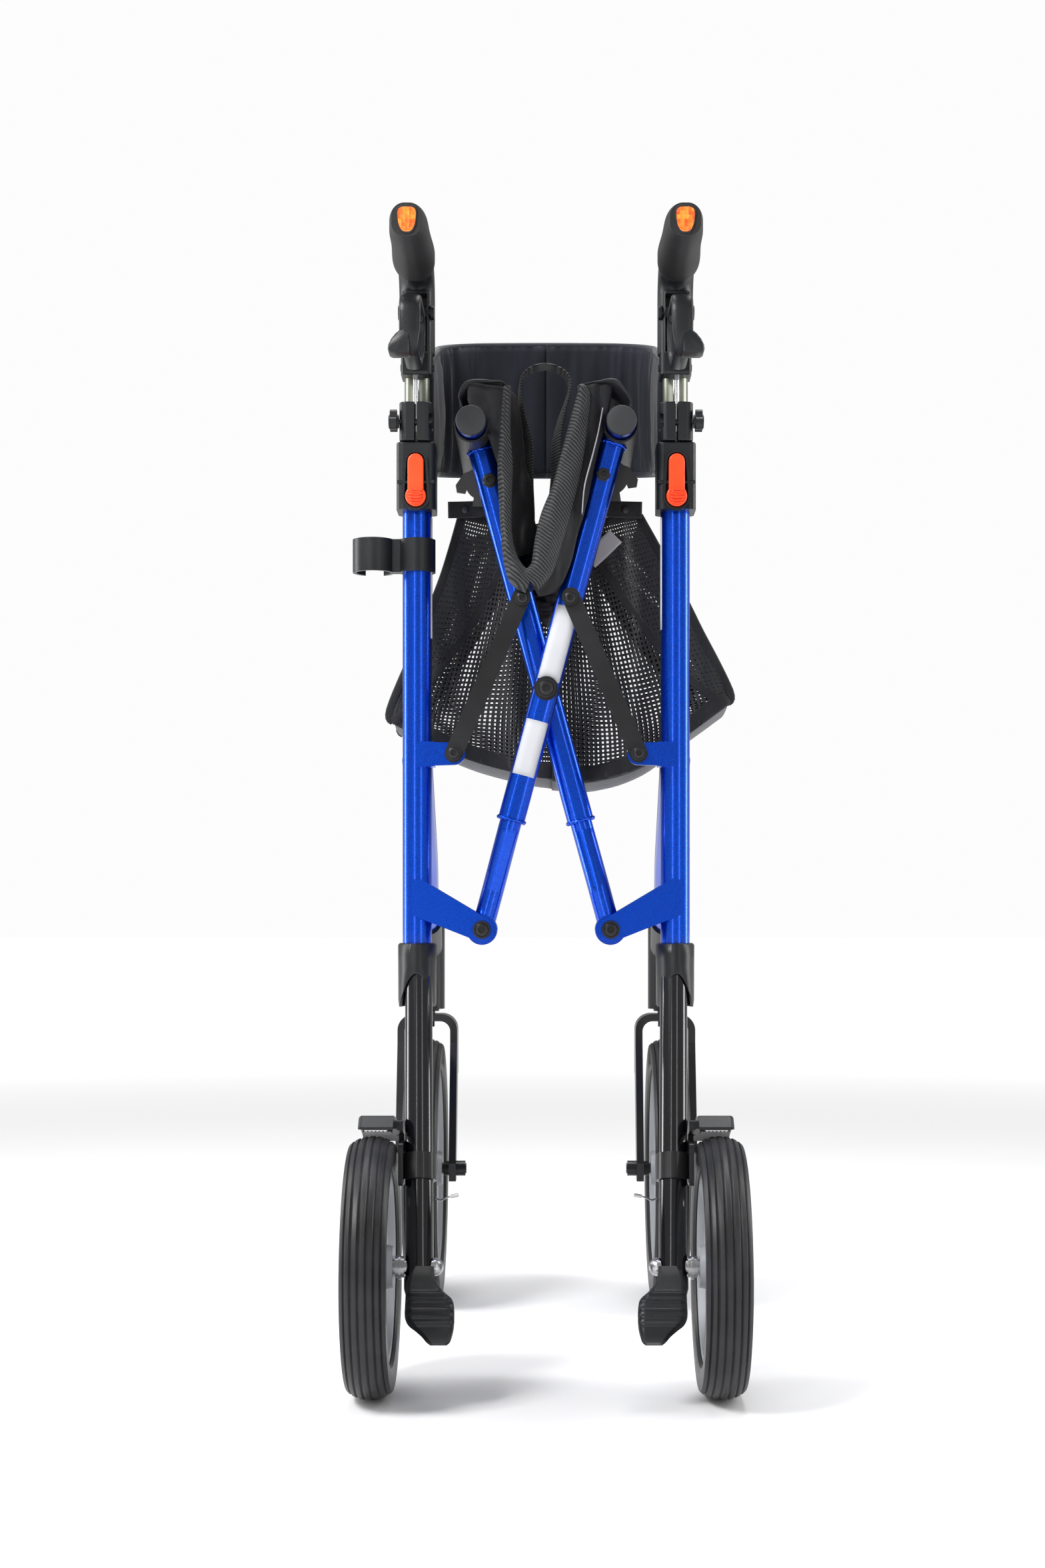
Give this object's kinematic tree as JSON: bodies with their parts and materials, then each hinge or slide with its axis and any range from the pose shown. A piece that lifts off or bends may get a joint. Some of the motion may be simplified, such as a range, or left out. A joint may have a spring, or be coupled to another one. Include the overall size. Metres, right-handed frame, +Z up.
{
  "type": "folding walking frame",
  "caption": "Folding wheeled walking frame with scissor cross frame, sling seat, net bag, swivel front casters, loop brake levers and height-adjustable handles; stored folded.",
  "frame": {"origin": "on the floor, at the centre of the folded frame's plan outline", "axes": "+Z up, +Y forward in the direction of travel, +X to the user's right"},
  "size_m": [0.318, 0.6654, 0.9211],
  "materials": {
    "blue_paint": "gloss metallic",
    "black_paint": "gloss",
    "black_steel": "satin",
    "black_plastic": "fine texture",
    "grip_rubber": "matte",
    "tyre": "satin",
    "rim_plastic": "satin",
    "orange_plastic": "satin",
    "chrome": "polished",
    "handle_alloy": "anodised",
    "bare_steel": "zinc plated",
    "gunmetal": "dark plated",
    "seat_fabric": "woven nylon",
    "backrest_fabric": "woven",
    "bag_net": "net",
    "webbing": "ribbed"
  },
  "bodies": {
    "left_side": {"left_upright_tube": "blue_paint", "left_front_tube": "blue_paint", "left_caster_housing": "black_plastic", "left_leg_collar": "black_plastic", "left_rear_leg": "black_paint", "left_rear_axle": "bare_steel", "left_tip_pedal": "black_plastic", "left_brake_mount": "black_steel", "left_latch_housing": "black_plastic", "left_cane_holder": "black_plastic"},
    "right_side": {"right_upright_tube": "blue_paint", "right_front_tube": "blue_paint", "right_caster_housing": "black_plastic", "right_leg_collar": "black_plastic", "right_rear_leg": "black_paint", "right_rear_axle": "bare_steel", "right_tip_pedal": "black_plastic", "right_brake_mount": "black_steel", "right_latch_housing": "black_plastic"},
    "rear_cross": {"rear_cross_frame": "blue_paint", "right_hook_plate": "gunmetal", "right_seat_half": "seat_fabric"},
    "front_cross": {"front_cross_frame": "blue_paint", "left_hook_plate": "gunmetal", "left_seat_half": "seat_fabric"},
    "centre": {"cross_pivot_bolt": "black_steel", "shopping_bag": "bag_net", "pull_strap": "webbing"},
    "left_link": {"left_link_bar": "black_steel"},
    "left_backrest": {"left_backrest_half": "backrest_fabric"},
    "left_handle": {"left_handle_tube": "handle_alloy", "left_handle_body": "black_plastic", "left_grip": "grip_rubber"},
    "left_lever": {"left_brake_lever": "black_plastic"},
    "left_rod": {"left_pull_rod": "chrome"},
    "left_collar": {"left_stop_collar": "black_plastic"},
    "left_knob": {"left_clamp_knob": "black_plastic"},
    "left_latch": {"left_latch_lever": "orange_plastic"},
    "left_shoe": {"left_brake_shoe": "black_plastic"},
    "left_rear_wheel": {"left_rear_tyre": "tyre", "left_rear_rim": "rim_plastic"},
    "left_fork": {"left_caster_fork": "black_steel"},
    "left_front_wheel": {"left_front_tyre": "tyre", "left_front_rim": "rim_plastic"},
    "right_link": {"right_link_bar": "black_steel"},
    "right_backrest": {"right_backrest_half": "backrest_fabric"},
    "right_handle": {"right_handle_tube": "handle_alloy", "right_handle_body": "black_plastic", "right_grip": "grip_rubber"},
    "right_lever": {"right_brake_lever": "black_plastic"},
    "right_rod": {"right_pull_rod": "chrome"},
    "right_collar": {"right_stop_collar": "black_plastic"},
    "right_knob": {"right_clamp_knob": "black_plastic"},
    "right_latch": {"right_latch_lever": "orange_plastic"},
    "right_shoe": {"right_brake_shoe": "black_plastic"},
    "right_rear_wheel": {"right_rear_tyre": "tyre", "right_rear_rim": "rim_plastic"},
    "right_fork": {"right_caster_fork": "black_steel"},
    "right_front_wheel": {"right_front_tyre": "tyre", "right_front_rim": "rim_plastic"}
  },
  "joints": [
    {"name": "fold", "type": "hinge", "parent": "left_side", "child": "rear_cross", "pos_m": [-0.05254, -0.14125, 0.364], "axis": [0, 1, 0], "range_deg": [0, 50]},
    {"name": "centre_pivot", "type": "hinge", "parent": "rear_cross", "child": "centre", "pos_m": [0, -0.14125, 0.56008], "axis": [0, 1, 0], "range_deg": [-50, 0]},
    {"name": "front_cross_pivot", "type": "hinge", "parent": "centre", "child": "front_cross", "pos_m": [0, -0.14125, 0.56008], "axis": [0, 1, 0], "range_deg": [-50, 0]},
    {"name": "right_side_pivot", "type": "hinge", "parent": "front_cross", "child": "right_side", "pos_m": [0.05254, -0.14125, 0.364], "axis": [0, 1, 0], "range_deg": [0, 50]},
    {"name": "left_link_pivot", "type": "hinge", "parent": "left_side", "child": "left_link", "pos_m": [-0.07494, -0.14125, 0.507], "axis": [0, 1, 0], "range_deg": [0, 76.89]},
    {"name": "left_backrest_follow", "type": "slide", "parent": "left_side", "child": "left_backrest", "axis": [0.8826, -0.4701, 0], "range_m": [0, 0.14892]},
    {"name": "left_handle_height", "type": "slide", "parent": "left_side", "child": "left_handle", "axis": [0, 0, 1], "range_m": [0, 0.12]},
    {"name": "left_collar_slide", "type": "slide", "parent": "left_handle", "child": "left_collar", "axis": [0, 0, 1], "range_m": [0, 0.02]},
    {"name": "left_knob_turn", "type": "hinge", "parent": "left_collar", "child": "left_knob", "pos_m": [-0.106, -0.16025, 0.7772], "axis": [1, 0, 0], "continuous": true},
    {"name": "left_brake_squeeze", "type": "hinge", "parent": "left_handle", "child": "left_lever", "pos_m": [-0.106, -0.15525, 0.867], "axis": [-1, 0, 0], "range_deg": [0, 12], "stiffness_Nm_per_rad": 1.2, "springref_deg": -17.19},
    {"name": "left_rod_pull", "type": "slide", "parent": "left_handle", "child": "left_rod", "axis": [0, 0, 1], "range_m": [0, 0.0018]},
    {"name": "left_shoe_pivot", "type": "hinge", "parent": "left_side", "child": "left_shoe", "pos_m": [-0.11, -0.18325, 0.19], "axis": [1, 0, 0], "range_deg": [0, 4.3]},
    {"name": "left_latch_rock", "type": "hinge", "parent": "left_side", "child": "left_latch", "pos_m": [-0.106, -0.16125, 0.728], "axis": [1, 0, 0], "range_deg": [0, 9], "stiffness_Nm_per_rad": 0.05, "springref_deg": -11.46},
    {"name": "left_rear_wheel_spin", "type": "hinge", "parent": "left_side", "child": "left_rear_wheel", "pos_m": [-0.136, -0.23125, 0.1015], "axis": [1, 0, 0], "continuous": true},
    {"name": "left_caster_swivel", "type": "hinge", "parent": "left_side", "child": "left_fork", "pos_m": [-0.118, 0.24375, 0.3], "axis": [0, 0, -1], "continuous": true},
    {"name": "left_front_wheel_spin", "type": "hinge", "parent": "left_fork", "child": "left_front_wheel", "pos_m": [-0.118, 0.20575, 0.127], "axis": [1, 0, 0], "continuous": true},
    {"name": "right_link_pivot", "type": "hinge", "parent": "right_side", "child": "right_link", "pos_m": [0.07494, -0.14125, 0.507], "axis": [0, 1, 0], "range_deg": [-76.89, 0]},
    {"name": "right_backrest_follow", "type": "slide", "parent": "right_side", "child": "right_backrest", "axis": [-0.8826, -0.4701, 0], "range_m": [0, 0.14892]},
    {"name": "right_handle_height", "type": "slide", "parent": "right_side", "child": "right_handle", "axis": [0, 0, 1], "range_m": [0, 0.12]},
    {"name": "right_collar_slide", "type": "slide", "parent": "right_handle", "child": "right_collar", "axis": [0, 0, 1], "range_m": [0, 0.02]},
    {"name": "right_knob_turn", "type": "hinge", "parent": "right_collar", "child": "right_knob", "pos_m": [0.106, -0.16025, 0.7772], "axis": [1, 0, 0], "continuous": true},
    {"name": "right_brake_squeeze", "type": "hinge", "parent": "right_handle", "child": "right_lever", "pos_m": [0.106, -0.15525, 0.867], "axis": [-1, 0, 0], "range_deg": [0, 12], "stiffness_Nm_per_rad": 1.2, "springref_deg": -17.19},
    {"name": "right_rod_pull", "type": "slide", "parent": "right_handle", "child": "right_rod", "axis": [0, 0, 1], "range_m": [0, 0.0018]},
    {"name": "right_shoe_pivot", "type": "hinge", "parent": "right_side", "child": "right_shoe", "pos_m": [0.11, -0.18325, 0.19], "axis": [1, 0, 0], "range_deg": [0, 4.3]},
    {"name": "right_latch_rock", "type": "hinge", "parent": "right_side", "child": "right_latch", "pos_m": [0.106, -0.16125, 0.728], "axis": [1, 0, 0], "range_deg": [0, 9], "stiffness_Nm_per_rad": 0.05, "springref_deg": -11.46},
    {"name": "right_rear_wheel_spin", "type": "hinge", "parent": "right_side", "child": "right_rear_wheel", "pos_m": [0.136, -0.23125, 0.1015], "axis": [1, 0, 0], "continuous": true},
    {"name": "right_caster_swivel", "type": "hinge", "parent": "right_side", "child": "right_fork", "pos_m": [0.118, 0.24375, 0.3], "axis": [0, 0, 1], "continuous": true},
    {"name": "right_front_wheel_spin", "type": "hinge", "parent": "right_fork", "child": "right_front_wheel", "pos_m": [0.118, 0.20575, 0.127], "axis": [1, 0, 0], "continuous": true}
  ],
  "couplings": [
    {"joint": "centre_pivot", "follows": "fold", "ratio": -1},
    {"joint": "front_cross_pivot", "follows": "fold", "ratio": -1},
    {"joint": "right_side_pivot", "follows": "fold", "ratio": 1},
    {"joint": "left_link_pivot", "follows": "fold", "ratio": 1.5378},
    {"joint": "left_backrest_follow", "follows": "fold", "m_per_rad": 0.17065},
    {"joint": "left_rod_pull", "follows": "left_brake_squeeze", "m_per_rad": 0.008586},
    {"joint": "left_shoe_pivot", "follows": "left_brake_squeeze", "ratio": 0.35797},
    {"joint": "right_link_pivot", "follows": "fold", "ratio": -1.5378},
    {"joint": "right_backrest_follow", "follows": "fold", "m_per_rad": 0.17065},
    {"joint": "right_rod_pull", "follows": "right_brake_squeeze", "m_per_rad": 0.008586},
    {"joint": "right_shoe_pivot", "follows": "right_brake_squeeze", "ratio": 0.35797}
  ]
}
